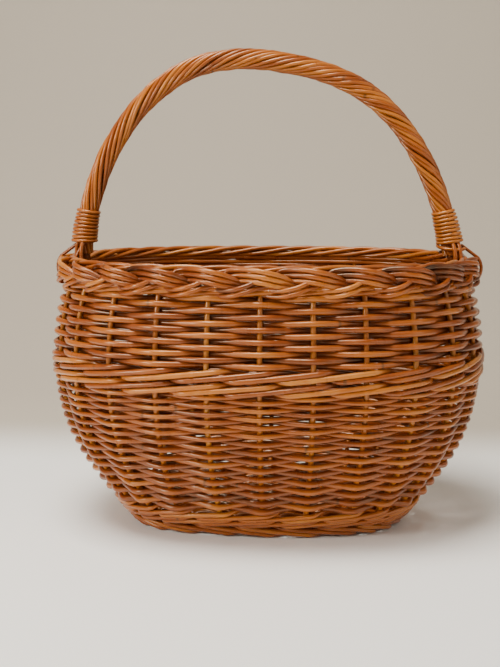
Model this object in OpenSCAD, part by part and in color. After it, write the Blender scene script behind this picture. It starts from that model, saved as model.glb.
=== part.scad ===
// Woven willow market basket with a fixed, rope-wrapped bow handle. Millimetres, Z up.
// The origin is on the ground under the middle of the basket: X along it, Y across it.

/* [Body] */
// Length over the widest part of the body
body_length = 436; // [360:2:540]
// Depth from front to back over the widest part of the body
body_depth = 306; // [250:2:380]
// How much smaller the radius of the plan's two ends is than half its depth
end_inset = 9.2; // [6:0.4:40]
// Height of the widest part, at the middle wale
widest_height = 168; // [145:1:200]
// Height of the border's underside
wall_height = 244; // [200:1:295]
// Radius of the bulge below the widest part
lower_bulge = 182; // [160:2:240]
// Radius of the bulge above the widest part
upper_bulge = 260; // [160:5:400]
// Slope of the lowest stretch of wall, from upright
flare = 35.6; // [26:0.2:42]

/* [Stakes] */
// Number of upright stakes, a multiple of 6 so that every pattern closes
stake_count = 24; // [24:6:30]
// Diameter of a stake
stake_d = 5.2; // [3.5:0.1:6.5]
// Clearance where one rod passes another
weave_gap = 0.2; // [0.1:0.05:0.4]
// How far a stake's foot runs in under the base weave
stake_foot = 20; // [12:1:26]

/* [Weaving rods] */
// Diameter of the fine rods of the lower wall
lower_rod = 3.8; // [3:0.1:4.4]
// Rows in the lower wall
lower_rows = 28; // [16:1:30]
// Diameter of the rods of the upper wall
upper_rod = 4; // [3:0.1:4.6]
// Rows in the upper wall
upper_rows = 12; // [8:1:14]
// Diameter of the waling rods
wale_rod = 5; // [4:0.1:6]
// Height of one three-rod round of waling
wale_height = 12; // [9:0.5:14]
// How much closer together the top rows of the lower wall lie than the bottom ones
row_crowding = 1.6; // [0:0.1:2]

/* [Foot and base] */
// Height of the stakes' elbows, where the base lies
base_height = 14.2; // [13.8:0.1:18]
// Diameter of the slit base sticks, across the base
short_stick_d = 10; // [9:0.5:10.5]
// Diameter of the base sticks that pass through the slits, along the base
long_stick_d = 6; // [4:0.2:7]
// Diameter of the rods woven through the base
base_rod = 3.6; // [3:0.1:4]
// Distance from one round of the base weave to the next
base_row_pitch = 6.4; // [4.6:0.2:10]
// Diameter of the foot border's rods
foot_rod = 4; // [3:0.2:5]
// Diameter of the short stakes that hold the foot border
peg_d = 3.4; // [2.6:0.2:4]
// Height of a peg's upper end
peg_top = 30; // [24:1:34]

/* [Border] */
// Height of the plaited border
border_height = 29; // [24:1:34]
// How far the border's middle stands outside the stakes' upper ends
border_overhang = 5.2; // [3:0.2:10.4]
// Width of the plaited border, from inside to outside
border_width = 20.6; // [19:0.2:26]
// Diameter of one of the plait's three strands
strand_d = 8.2; // [6:0.2:8.4]

/* [Handle] */
// Height to the top of the handle
handle_height = 472; // [390:2:600]
// Clearance between the bow's feet and the border
bow_clearance = 1.6; // [1.2:0.2:4]
// Diameter of the bow at the handle's core
bow_d = 11; // [8:0.5:13.5]
// Diameter of the rods that wrap the bow
wrap_rod = 4.4; // [3:0.1:4.5]
// Turns that each wrapping rod makes from one foot to the other
wrap_turns = 5.5; // [3:0.5:7]
// How far the sides are drawn in above the border
handle_pinch = 4.4; // [0:0.4:8]
// How much the top of the arch is flattened
handle_flat = 4; // [0:0.5:10]
// How much the crown leans to one side
handle_lean = 16; // [0:1:30]
// How far the crown stands to the left of the basket's middle
handle_drift = 6.4; // [0:0.4:8]
// Height of the bow's hidden ends, inside the wall
bow_end_height = 186; // [180:1:210]
// Diameter of the rod that binds each foot
binding_rod = 3.2; // [2.4:0.1:4]
// Turns of each binding
binding_turns = 9; // [6:1:11]

/* [Hidden] */
function numbered(name, i) = str(name, i < 10 ? "0" : "", i);

willow = "peru";
dark_willow = "sienna";
pale_willow = "burlywood";
$fn = 24;

// ---- The plan: an oval of four arcs through the stakes at the widest part ----
half_length = body_length / 2 - stake_d / 2 - weave_gap - wale_rod;
half_depth = body_depth / 2 - stake_d / 2 - weave_gap - wale_rod;
end_radius = half_depth - end_inset;
end_centre = half_length - end_radius;
side_radius = (pow(half_length, 2) - 2 * half_length * end_radius + pow(half_depth, 2))
    / (2 * (half_depth - end_radius));
side_centre = side_radius - half_depth;
side_angle = atan2(end_centre, side_centre);
degrees = PI / 180;
side_run = side_radius * side_angle * degrees;
quarter_run = side_run + end_radius * (90 - side_angle) * degrees;

// Direction of the outward normal, for a length run along the first quarter
function quarter_angle(run) = run < side_run ? run / side_radius / degrees
    : side_angle + (run - side_run) / end_radius / degrees;
function quarter_point(a, out) = a < side_angle
    ? [(side_radius + out) * sin(a), side_centre - (side_radius + out) * cos(a)]
    : [end_centre + (end_radius + out) * sin(a), -(end_radius + out) * cos(a)];
// Stake number u, from 0 at the front centre, as a quarter and a normal's direction
function turn(u) = 4 * (u / stake_count - floor(u / stake_count));
function run_in_quarter(t) = quarter_run * (floor(t) % 2 == 0 ? t - floor(t) : 1 - t + floor(t));
function plan_angle(u) = let(t = turn(u), q = floor(t), a = quarter_angle(run_in_quarter(t)))
    q == 0 ? a - 90 : q == 1 ? 90 - a : q == 2 ? 90 + a : 270 - a;
// Point beside stake number u, "out" millimetres outside the oval
function plan(u, out) = let(
        t = turn(u), q = floor(t), p = quarter_point(quarter_angle(run_in_quarter(t)), out))
    [q < 2 ? p[0] : -p[0], q == 0 || q == 3 ? p[1] : -p[1]];

// ---- The profile: how far the stakes stand out from the oval at a height ----
knee_height = widest_height - lower_bulge * sin(flare);
function bulge(r, z) = sqrt(r * r - pow(z - widest_height, 2)) - r;
function wall_out(z) = z > widest_height ? bulge(upper_bulge, z)
    : z > knee_height ? bulge(lower_bulge, z)
    : lower_bulge * (cos(flare) - 1) - (knee_height - z) * tan(flare);
function wall_slope(z) = z > widest_height ? asin((z - widest_height) / upper_bulge)
    : z > knee_height ? asin((widest_height - z) / lower_bulge) : flare;

// ---- Heights, from the ground up ----
peg_start = 1;
foot_rod_height = (base_height - stake_d / 2 - weave_gap) / 3;
upsett_start = base_height + stake_d / 2 + weave_gap;
upsett_height = wale_height + 2;
lower_start = upsett_start + upsett_height + 1.5;
lower_end = widest_height - wale_height;
upper_start = widest_height + wale_height;
lower_pitch = (lower_end - lower_start) / lower_rows;
upper_pitch = (wall_height - upper_start) / upper_rows;
function lower_row_height(i) = lower_start + lower_pitch * (i - 0.5)
    + row_crowding / 2 * (i - 0.5) * (1 - i / lower_rows);
function upper_row_height(i) = upper_start + upper_pitch * (i - 0.5);
row_fill = 0.84;
border_middle = wall_height + border_height / 2;
border_top = wall_height + border_height;

// ---- Shared shapes ----
function unit(v) = v / norm(v);

// A rod with "sides" flats through the points of "path"; "ref" is one direction across it at each point
module rod(path, ref, d, sides = 6, closed = false) {
    n = len(path);
    points = [for (i = [0 : n - 1]) let(
            after = closed ? path[(i + 1) % n] : path[min(i + 1, n - 1)],
            before = closed ? path[(i + n - 1) % n] : path[max(i - 1, 0)],
            t = unit(after - before), a = unit(ref[i] - (ref[i] * t) * t), b = cross(t, a))
        for (k = [0 : sides - 1]) path[i] + d / 2 * (cos(360 * k / sides) * a + sin(360 * k / sides) * b)];
    walls = [for (i = [0 : closed ? n - 1 : n - 2]) for (k = [0 : sides - 1]) let(
            j = (i + 1) % n, m = (k + 1) % sides, near = [i * sides + k, i * sides + m],
            far = [j * sides + k, j * sides + m])
        each [[near[0], near[1], far[0]], [near[1], far[1], far[0]]]];
    ends = closed ? [] : [
        [for (k = [sides - 1 : -1 : 0]) k],
        [for (k = [0 : sides - 1]) (n - 1) * sides + k]];
    polyhedron(points, concat(walls, ends));
}

// A row's side at stake number s: 1 outside, -1 inside. It lies inside at one stake in every "cycle"
function side_of(s, cycle, start) = (s + start) % cycle == 0 ? -1 : 1;

// Distance from stake to stake near stake number s, at a height
function pitch_at(s, z) = norm(plan(s + 0.5, wall_out(z)) - plan(s - 0.5, wall_out(z)));

// One woven row round the basket, "tall" high, that passes each stake "clear" from its line.
// It bends round points that stand "aside" from the stakes
module woven_row(z, d, tall, cycle, start, clear, straight = 0.18, aside = 0) {
    middle = wall_out(z);
    path = [for (s = [0 : stake_count - 1]) for (beside = [-straight, 0, straight])
        [s + beside + aside / pitch_at(s, z), middle + clear * side_of(s, cycle, start)]];
    translate([0, 0, z - tall / 2])
        linear_extrude(tall)
            difference() {
                polygon([for (p = path) plan(p[0], p[1] + d / 2)]);
                polygon([for (p = path) plan(p[0], p[1] - d / 2)]);
            }
}

// Clearance from the stakes' line to the middle of a row, where the wall slopes
function row_clear(z, upright_d, d, tall) = upright_d / 2 / cos(wall_slope(z))
    + tall / 2 * tan(wall_slope(z)) + d / 2 + weave_gap;

// Three rods stacked as one round of waling: each outside two stakes and inside the third
module wale(start, height, d, upright_d, straight = 0.2) {
    pitch = height / 3;
    tall = pitch - weave_gap;
    for (i = [0 : 2]) {
        z = start + pitch * (i + 0.5);
        woven_row(z, d, tall, 3, i, row_clear(z, upright_d, d, tall), straight);
    }
}

// A ball that closes the joint between two stretches of a stake
module knuckle() sphere(d = stake_d * 1.04);
joint_gap = 0.3;

// A straight stretch of stake from the origin along Z, open at each end for its knuckle
module straight_stake(length)
    translate([0, 0, joint_gap]) cylinder(d = stake_d, h = length - 2 * joint_gap);

// A bent stretch of stake, from one angle of a circle to another
module bent_stake(radius, from, to) {
    trim = joint_gap / radius / degrees;
    rotate([90, 0, 0]) rotate([0, 0, from + trim])
        rotate_extrude(angle = to - from - 2 * trim, $fn = 180) translate([radius, 0]) circle(d = stake_d);
}

// ---- Base ----
stick_out = wall_out(base_height) - stake_foot - stake_d / 2 - 1;
stick_x = [for (s = [0.5 : 1 : 2.5]) plan(s, stick_out)[0]];
stick_pitch = long_stick_d + 2 * weave_gap;
stick_y = [stick_pitch / 2, 3 * stick_pitch / 2];
stick_end_radius = end_radius + stick_out;
stick_side_radius = side_radius + stick_out;
function stick_reach_y(x) = x < stick_side_radius * sin(side_angle)
    ? sqrt(pow(stick_side_radius, 2) - pow(x, 2)) - side_centre
    : sqrt(pow(stick_end_radius, 2) - pow(x - end_centre, 2));
function stick_reach_x(y) = end_centre + sqrt(pow(stick_end_radius, 2) - pow(y + long_stick_d / 2, 2));

module long_stick(y) translate([-stick_reach_x(abs(y)), y, base_height])
    rotate([0, 90, 0]) cylinder(d = long_stick_d, h = 2 * stick_reach_x(abs(y)));

module base_long_sticks() color(pale_willow)
    for (y = stick_y) for (side = [-1, 1]) long_stick(side * y);

module base_short_sticks() color(pale_willow)
    for (x = stick_x) for (side = [-1, 1]) {
        reach = stick_reach_y(x + short_stick_d / 2);
        slit = 2 * (stick_y[1] + long_stick_d / 2 + weave_gap);
        difference() {
            translate([side * x, reach, base_height]) rotate([90, 0, 0])
                cylinder(d = short_stick_d, h = 2 * reach);
            translate([side * x, 0, base_height])
                cube([short_stick_d + 2, slit, long_stick_d + 2 * weave_gap], center = true);
        }
    }

base_lift = short_stick_d / 2 + weave_gap + base_rod / 2;
base_edge_under = wall_out(0) - row_clear(0, peg_d, foot_rod, foot_rod_height) - foot_rod / 2;
base_edge_top = wall_out(upsett_start) - wale_rod / 2
    - row_clear(upsett_start, stake_d, wale_rod, upsett_height / 3);
base_row_last = stick_y[1] + long_stick_d - half_depth;
// Plain rounds of the base weave on one face, from the edge in towards the cross of sticks
module base_rounds(level, edge) {
    first = edge - base_rod / 2 - weave_gap;
    gaps = floor((first - base_row_last) / base_row_pitch);
    step = 0.75;
    for (i = [0 : gaps]) {
        out = first - (first - base_row_last) * i / gaps;
        translate([0, 0, base_height + level * base_lift - base_rod / 2])
            linear_extrude(base_rod)
                difference() {
                    polygon([for (s = [0 : step : stake_count - step]) plan(s, out + base_rod / 2)]);
                    polygon([for (s = [0 : step : stake_count - step]) plan(s, out - base_rod / 2)]);
                }
    }
}

module base_weave_top() color(willow) base_rounds(1, base_edge_top);

module base_weave_underside() color(willow) base_rounds(-1, base_edge_under);

// ---- Stakes and foot ----
module stake() {
    knee = [wall_out(knee_height), 0, knee_height];
    elbow = [wall_out(base_height), 0, base_height];
    top_angle = asin((wall_height - widest_height) / upper_bulge);
    translate([-upper_bulge, 0, widest_height]) bent_stake(upper_bulge, 0, top_angle);
    translate([0, 0, widest_height]) knuckle();
    translate([-lower_bulge, 0, widest_height]) bent_stake(lower_bulge, -flare, 0);
    translate(knee) knuckle();
    translate(elbow) rotate([0, flare, 0]) straight_stake((knee_height - base_height) / cos(flare));
    translate(elbow) knuckle();
    translate(elbow) rotate([0, -90, 0]) straight_stake(stake_foot);
}

module at_stake(s) translate(plan(s, 0)) rotate([0, 0, plan_angle(s)]) children();

module side_stakes() color(dark_willow)
    for (s = [0 : stake_count - 1]) at_stake(s) stake();

peg_aside = stake_d / 2 + peg_d / 2 + weave_gap;
module foot_pegs() color(dark_willow)
    for (s = [0 : stake_count - 1]) at_stake(s)
        translate([wall_out(peg_start), peg_aside, peg_start])
            rotate([0, flare, 0]) cylinder(d = peg_d, h = (peg_top - peg_start) / cos(flare));

peg_straight = 0.3;
module foot_border() color(willow)
    for (i = [0 : 2]) {
        z = foot_rod_height * (i + 0.5);
        tall = foot_rod_height - (i == 0 ? 0 : weave_gap);
        middle = i == 0 ? z : z + weave_gap / 2;
        woven_row(middle, foot_rod, tall, 3, i, row_clear(middle, peg_d, foot_rod, tall),
            straight = peg_straight, aside = peg_aside);
    }

module upsett_wale() color(willow)
    wale(upsett_start, upsett_height, wale_rod, stake_d, peg_straight);

// ---- Walls ----
module lower_row(i) color(i % 2 == 0 ? willow : dark_willow) {
    z = lower_row_height(i);
    tall = lower_rod * row_fill;
    woven_row(z, lower_rod, tall, 2, i, row_clear(z, stake_d, lower_rod, tall));
}

module middle_wale_lower() color(willow) wale(lower_end, wale_height, wale_rod, stake_d);

module middle_wale_upper() color(willow) wale(widest_height, wale_height, wale_rod, stake_d);

module upper_row(i) color(i % 2 == 0 ? willow : dark_willow) {
    z = upper_row_height(i);
    tall = upper_rod * row_fill;
    woven_row(z, upper_rod, tall, 2, i, row_clear(z, stake_d, upper_rod, tall));
}

// ---- Border: three strands that change places once at every stake ----
border_out = wall_out(wall_height) + border_overhang;
strand_rise = (border_height - strand_d) / 2;
strand_shift = (border_width - strand_d) / 2;
strand_steps = 3;
module border_strand(i) color(i == 2 ? dark_willow : willow) {
    n = stake_count * strand_steps;
    path = [for (k = [0 : n - 1]) let(
            s = k / strand_steps, phase = 360 * (s + i - 1) / 3,
            p = plan(s, border_out - strand_shift * sin(2 * phase)))
        [p[0], p[1], border_middle + strand_rise * sin(phase)]];
    outward = [for (k = [0 : n - 1]) let(a = plan_angle(k / strand_steps)) [cos(a), sin(a), 0]];
    rod(path, outward, strand_d, closed = true);
}

// ---- Handle ----
// The bow is half an ellipse above the border, drawn in a little at its sides, with a leaning crown
// that stands to the left. Its right foot is at 0 degrees and its left foot at 180
spring_height = border_top - 4;
bow_rise = handle_height + handle_flat - spring_height - bow_d / 2 - wrap_rod;
bow_span = half_length + border_out - border_width / 2 - bow_clearance - bow_d / 2;
function bow_point(a) = [
    cos(a) * (bow_span - handle_pinch * sin(3 * a)) - handle_drift * sqrt(abs(sin(a))), 0,
    spring_height + bow_rise * sin(a) - handle_lean * cos(a) * pow(sin(a), 8) - handle_flat * pow(sin(a), 12)];
// Below the border each end lies against the inside of the wall
leg_inset = row_clear(wall_height, stake_d, upper_rod, upper_rod) + upper_rod / 2 + bow_d / 2 + 1;
leg_bend = wall_height - 2;
function leg_x(z) = half_length + wall_out(z) - leg_inset;
leg_steps = 5;
leg_pitch = (leg_bend - bow_end_height) / (leg_steps - 1);
leg = [for (z = [bow_end_height : leg_pitch : leg_bend + leg_pitch / 2]) [leg_x(z), 0, z]];
arch_steps = 36;
arch = [for (k = [0 : arch_steps]) bow_point(180 * k / arch_steps)];
function flipped(path) = [for (k = [len(path) - 1 : -1 : 0]) [-path[k][0], path[k][1], path[k][2]]];

module handle_bow() color(pale_willow) {
    path = concat(leg, arch, flipped(leg));
    rod(path, [for (p = path) [0, 1, 0]], bow_d, sides = 8);
}

// A point on a helix round the bow: "a" along the bow, "turned" degrees round it
function bow_tangent(a) = unit(bow_point(a + 1) - bow_point(a - 1));
function round_bow(a, turned) = cos(turned) * cross(bow_tangent(a), [0, 1, 0]) + [0, sin(turned), 0];

wrap_start = asin((border_top + 3 - spring_height) / bow_rise);
wrap_radius = bow_d / 2 / cos(180 / 8) * 0.98 + wrap_rod / 2 + weave_gap;
wrap_slant = atan2(2 * PI * wrap_radius * wrap_turns, PI * (bow_span + bow_rise) / 2);
wrap_rods = floor(2 * PI * wrap_radius * cos(wrap_slant) / (wrap_rod + weave_gap));
wrap_steps = ceil(wrap_turns * 10);
module handle_wrap() color(willow)
    for (i = [0 : wrap_rods - 1]) {
        along = [for (k = [0 : wrap_steps]) wrap_start + (180 - 2 * wrap_start) * k / wrap_steps];
        outward = [for (k = [0 : wrap_steps])
            round_bow(along[k], 360 * (i / wrap_rods + wrap_turns * k / wrap_steps))];
        rod([for (k = [0 : wrap_steps]) bow_point(along[k]) + wrap_radius * outward[k]],
            outward, wrap_rod, sides = 4);
    }

binding_start = border_top + 10;
binding_radius = wrap_radius + wrap_rod / 2 + binding_rod / 2 + 0.6;
binding_steps = 10;
// The coil round the right foot, or round the left one
module binding(left = false) {
    n = binding_turns * binding_steps;
    first = asin((binding_start - spring_height) / bow_rise);
    last = asin((binding_start + binding_turns * (binding_rod + weave_gap) - spring_height) / bow_rise);
    along = [for (k = [0 : n]) let(a = first + (last - first) * k / n) left ? 180 - a : a];
    outward = [for (k = [0 : n]) round_bow(along[k], 360 * k / binding_steps)];
    rod([for (k = [0 : n]) bow_point(along[k]) + binding_radius * outward[k]],
        outward, binding_rod, sides = 4);
}

module right_binding() color(dark_willow) binding();

module left_binding() color(dark_willow) binding(left = true);

// A rod that holds each foot down: from under the binding, over the border and in below it
tie_d = binding_rod;
module tie_rod() {
    over = border_width / 2 + tie_d / 2 + weave_gap + 1.8;
    middle = half_length + border_out;
    height = border_height / 2 + tie_d / 2 + weave_gap + 1.1;
    path = [for (a = [110 : -16 : -66]) [middle + over * cos(a), 0, border_middle + height * sin(a)]];
    rod(path, [for (p = path) [0, 1, 0]], tie_d);
}

module right_tie_rod() color(dark_willow) tie_rod();

module left_tie_rod() color(dark_willow) mirror([1, 0, 0]) tie_rod();

// ---- Assembly ----
base_long_sticks();
base_short_sticks();
base_weave_top();
base_weave_underside();
side_stakes();
foot_pegs();
foot_border();
upsett_wale();
for (i = [1 : lower_rows])
    lower_row(i);
middle_wale_lower();
middle_wale_upper();
for (i = [1 : upper_rows])
    upper_row(i);
for (i = [1 : 3])
    border_strand(i);
handle_bow();
handle_wrap();
left_binding();
right_binding();
left_tie_rod();
right_tie_rod();
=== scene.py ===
# %% [markdown]
# # A woven willow market basket
# This lesson builds a whole basket from willow rods, in the order a basket maker works: base,
# stakes, foot, walls, border and handle. The real object is nothing but round rods that pass in front
# of and behind one another. So every piece here is a bundle of rods, and each rod is a line in space
# that is given a thickness. A flat wall with a woven picture on it would be quicker, but its outline
# would be smooth, no light would come through it, and it would fall apart in a close view.

# %% Load the frame
import math
import random

import bpy
import numpy as np
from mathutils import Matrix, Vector
from mathutils.kdtree import KDTree


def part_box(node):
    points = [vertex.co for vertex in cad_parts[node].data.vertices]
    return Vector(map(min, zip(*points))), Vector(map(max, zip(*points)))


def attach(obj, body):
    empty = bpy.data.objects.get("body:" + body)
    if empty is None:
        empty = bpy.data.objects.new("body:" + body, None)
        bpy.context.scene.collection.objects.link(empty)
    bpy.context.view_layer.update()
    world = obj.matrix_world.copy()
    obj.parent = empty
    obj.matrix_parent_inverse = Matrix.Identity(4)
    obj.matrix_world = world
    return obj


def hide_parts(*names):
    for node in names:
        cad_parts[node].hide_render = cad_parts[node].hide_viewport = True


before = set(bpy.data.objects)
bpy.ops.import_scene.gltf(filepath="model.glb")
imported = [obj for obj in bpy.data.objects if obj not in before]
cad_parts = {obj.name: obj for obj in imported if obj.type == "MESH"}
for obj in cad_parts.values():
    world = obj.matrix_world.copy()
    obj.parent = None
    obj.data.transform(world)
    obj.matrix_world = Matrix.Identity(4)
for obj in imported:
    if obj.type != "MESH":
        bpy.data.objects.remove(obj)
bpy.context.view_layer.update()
MM = 0.001
chance = random.Random(24)

# %% [markdown]
# ## The sizes that the weave follows
# Lengths are measured from the frame, so that the rods land where the solid parts are. The wall is
# described by three things. Its plan is an oval of four arcs. Its profile is a straight slope that
# turns into a bulge. And a count of 24 stakes divides it, so that a place on the wall is a stake number
# along it and a height above the ground.

# %% Sizes of the body
STAKES = 24
STAKE = 5.2 * MM
CLEAR = 0.2 * MM
WALE_ROOM = 5.0 * MM
END_INSET = 9.2 * MM

wide_low, wide_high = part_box("middle_wale_lower")
line_x = wide_high.x - STAKE / 2 - CLEAR - WALE_ROOM
line_y = wide_high.y - STAKE / 2 - CLEAR - WALE_ROOM
end_radius = line_y - END_INSET
end_centre = line_x - end_radius
side_radius = (line_x ** 2 - 2 * line_x * end_radius + line_y ** 2) / (2 * (line_y - end_radius))
side_centre = side_radius - line_y
side_angle = math.atan2(end_centre, side_centre)
side_run = side_radius * side_angle
quarter_run = side_run + end_radius * (math.pi / 2 - side_angle)

widest = wide_high.z
base_low, base_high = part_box("base_long_sticks")
base_height = (base_low.z + base_high.z) / 2
border_low, border_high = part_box("border_strand_1")
lower_bulge = 182 * MM
upper_bulge = 260 * MM
flare = math.radians(35.6)
knee_height = widest - lower_bulge * math.sin(flare)
print("widest at", round(widest, 4), "border from", round(border_low.z, 4), "to", round(border_high.z, 4))

# %% [markdown]
# ## Places on the wall
# `plan` walks round the oval, and `wall_out` says how far the wall stands out from it at a height.
# `wall_point` puts the two together: it takes a stake number, a height and a distance in front of the
# wall, and moves that distance square to the wall, which leans out low down and in again near the top.


# %% A point on the oval plan
def plan(stake, out):
    """The point beside a stake number, `out` metres outside the oval of stakes."""
    turns = stake / STAKES
    quarters = 4 * (turns - math.floor(turns))
    quarter = int(quarters)
    part = quarters - quarter
    run = quarter_run * (part if quarter % 2 == 0 else 1 - part)
    if run < side_run:
        angle = run / side_radius
        x = (side_radius + out) * math.sin(angle)
        y = side_centre - (side_radius + out) * math.cos(angle)
    else:
        angle = side_angle + (run - side_run) / end_radius
        x = end_centre + (end_radius + out) * math.sin(angle)
        y = -(end_radius + out) * math.cos(angle)
    x = x if quarter < 2 else -x
    y = y if quarter in (0, 3) else -y
    return x, y


# %% The wall's profile
def wall_out(z):
    """How far the wall stands out from the oval at a height."""
    if z > widest:
        return math.sqrt(upper_bulge ** 2 - (z - widest) ** 2) - upper_bulge
    if z > knee_height:
        return math.sqrt(lower_bulge ** 2 - (z - widest) ** 2) - lower_bulge
    return lower_bulge * (math.cos(flare) - 1) - (knee_height - z) * math.tan(flare)


def wall_tilt(z):
    """How far the wall's outward direction points up from level; below the widest part it points down."""
    if z > widest:
        return math.asin((z - widest) / upper_bulge)
    if z > knee_height:
        return math.asin((z - widest) / lower_bulge)
    return -flare


def wall_point(stake, z, front=0.0, level=False):
    """A point `front` metres in front of the stakes' line, square to the wall or level with the ground."""
    tilt = 0.0 if level else wall_tilt(z)
    x, y = plan(stake, wall_out(z) + front * math.cos(tilt))
    return Vector((x, y, z + front * math.sin(tilt)))


print("front centre of the wall at its widest:", wall_point(0, widest))

# %% [markdown]
# ## A willow rod
# A rod could be a cylinder that is bent, but Blender's bend needs a long straight mesh and one smooth
# curve. A path with a bevel is the natural choice: the path holds the route, each point of it holds a
# radius, and the bevel wraps a round skin about it. A willow rod swells a little where its buds were, so
# a knot is added here and there. Turned into a mesh, the skin keeps a map that runs round and along the
# rod, which the wood grain follows later. Two numbers are painted on as well. The `tone` is the colour
# of that rod, since no two willow rods take the stain alike, and the second number says how deep a point
# lies in the weave, where painted shade makes its colour darker.

# %% One rod
GRAIN_MAP = "Grain"
FIRST_KNOT = 60 * MM
KNOT_GAPS = (25 * MM, 110 * MM)
KNOT_SWELLS = (1.03, 1.13)


def rod(points, diameter, tone, painted_shade=0.0, taper=0.0, swell=None):
    """A round rod through the points, thinner at its end by `taper`; `swell` thickens it point by point."""
    count = len(points)
    shares = [i / (count - 1) for i in range(count)]
    radii = [diameter / 2 / MM * (1 + taper * (0.5 - s)) for s in shares]
    knot_at = chance.uniform(0, FIRST_KNOT)
    run = 0.0
    along = [0.0]
    for before, after in zip(points, points[1:]):
        run += (after - before).length
        along.append(run)
        if run > knot_at:
            radii[len(along) - 1] *= chance.uniform(*KNOT_SWELLS)
            knot_at = run + chance.uniform(*KNOT_GAPS)
    if swell:
        radii = [radius * factor for radius, factor in zip(radii, swell)]
    bpy.ops.object.select_all(action="DESELECT")
    bpy.ops.curve.primitive_nurbs_path_add()
    piece = bpy.context.object
    line = piece.data
    line.splines.clear()
    spline = line.splines.new("POLY")
    spline.points.add(count - 1)
    spline.points.foreach_set("co", [c for p in points for c in (p.x, p.y, p.z, 1.0)])
    spline.points.foreach_set("radius", radii)
    line.bevel_depth = MM
    line.bevel_resolution = 3
    line.use_fill_caps = True
    bpy.ops.object.convert(target="MESH")
    paint_rod(piece.data, points, along, tone, painted_shade)
    return piece


def paint_rod(mesh, points, along, tone, painted_shade):
    """Writes the rod's tone, its painted shade at each point (darker the deeper it lies in the weave), and
    a grain map in decimetres along the rod.
    """
    tree = KDTree(len(points))
    for i, point in enumerate(points):
        tree.insert(point, i)
    tree.balance()
    nearest = np.array([tree.find(v.co)[1] for v in mesh.vertices])
    # Painted shade: how deep each point lies in the weave, which the material turns into a darker colour.
    shade_depths = np.full(len(points), painted_shade) if isinstance(painted_shade, float) else np.array(painted_shade)
    mesh.attributes.new("painted_shade", "FLOAT", "POINT").data.foreach_set("value", shade_depths[nearest])
    tones = np.full(len(nearest), tone)
    mesh.attributes.new("tone", "FLOAT", "POINT").data.foreach_set("value", tones)
    skin = mesh.uv_layers.active
    places = np.zeros(2 * len(mesh.loops))
    skin.data.foreach_get("uv", places)
    corners = np.zeros(len(mesh.loops), int)
    mesh.loops.foreach_get("vertex_index", corners)
    places[1::2] = np.array(along)[nearest[corners]] * 10 + chance.uniform(0, 50)
    skin.data.foreach_set("uv", places)
    skin.name = GRAIN_MAP


# %% Tones and smooth steps
def some_tone(middle=0.5, spread=0.09):
    """The stain's strength on one rod: 0 is the darkest red-brown and 1 the palest gold."""
    return min(1.0, max(0.0, chance.gauss(middle, spread)))


def smooth(x):
    """Turns smoothly from 0 to 1 as x does."""
    x = min(1.0, max(0.0, x))
    return x * x * (3 - 2 * x)


def steps(start, end, size):
    """Numbers from start to end, about `size` apart."""
    count = max(2, round((end - start) / size))
    return [start + (end - start) * i / count for i in range(count + 1)]


# %% [markdown]
# ## Varnished willow
# The finish is one recipe for every rod, since the whole basket was stained and varnished together.
# A picture of wood wrapped round each rod would repeat and blur, so the colour is worked out instead.
# It starts from the rod's own tone. Fine fibres stretched along the grain map and wide patches where the
# stain took well or badly darken or lighten it, painted shade darkens the points that lie deep in the
# weave, and a colour ramp turns the sum into browns. Small dark scars mark where side shoots were
# trimmed. The varnish has soaked in, so its shine is tinted orange, and only a thin clear coat lies on top.


# %% Material helpers
def add_node(tree, kind, **settings):
    """A new node of a kind, with its settings."""
    node = tree.nodes.new(kind)
    for key, value in settings.items():
        setattr(node, key, value)
    return node


def sum_up(tree, first, second, factor):
    """A node that gives first + second * factor."""
    node = add_node(tree, "ShaderNodeMath", operation="MULTIPLY_ADD")
    tree.links.new(second, node.inputs[0])
    node.inputs[1].default_value = factor
    tree.links.new(first, node.inputs[2])
    return node.outputs[0]


def read_value(tree, name):
    """The value painted on the rods under a name."""
    return add_node(tree, "ShaderNodeAttribute", attribute_name=name).outputs["Fac"]


def stretched_noise(tree, place, stretch, scale, detail):
    """Noise over a set of places, squeezed by `stretch` along each of its directions."""
    mapping = add_node(tree, "ShaderNodeMapping")
    mapping.inputs["Scale"].default_value = stretch
    tree.links.new(place, mapping.inputs["Vector"])
    noise = add_node(tree, "ShaderNodeTexNoise")
    noise.inputs["Scale"].default_value = scale
    noise.inputs["Detail"].default_value = detail
    tree.links.new(mapping.outputs["Vector"], noise.inputs["Vector"])
    return noise.outputs["Fac"]


MIX_FIRST = 6
MIX_SECOND = 7
MIX_RESULT = 2


def mix_colours(tree, factor, second):
    """A node that mixes towards a second colour. Its first colour is set or linked by the caller."""
    mix = add_node(tree, "ShaderNodeMix", data_type="RGBA")
    tree.links.new(factor, mix.inputs["Factor"])
    mix.inputs[MIX_SECOND].default_value = second
    return mix


# %% The willow material
BROWNS = [
    (0.00, (0.020, 0.003, 0.0003)),
    (0.22, (0.085, 0.014, 0.0005)),
    (0.42, (0.195, 0.034, 0.0015)),
    (0.60, (0.305, 0.068, 0.004)),
    (0.80, (0.435, 0.130, 0.012)),
    (1.00, (0.590, 0.250, 0.040)),
]
VARNISH_TINT = (1.0, 0.68, 0.40, 1)
SCAR = (0.045, 0.016, 0.006, 1)
NOISE_MIDDLE = 0.25


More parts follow.
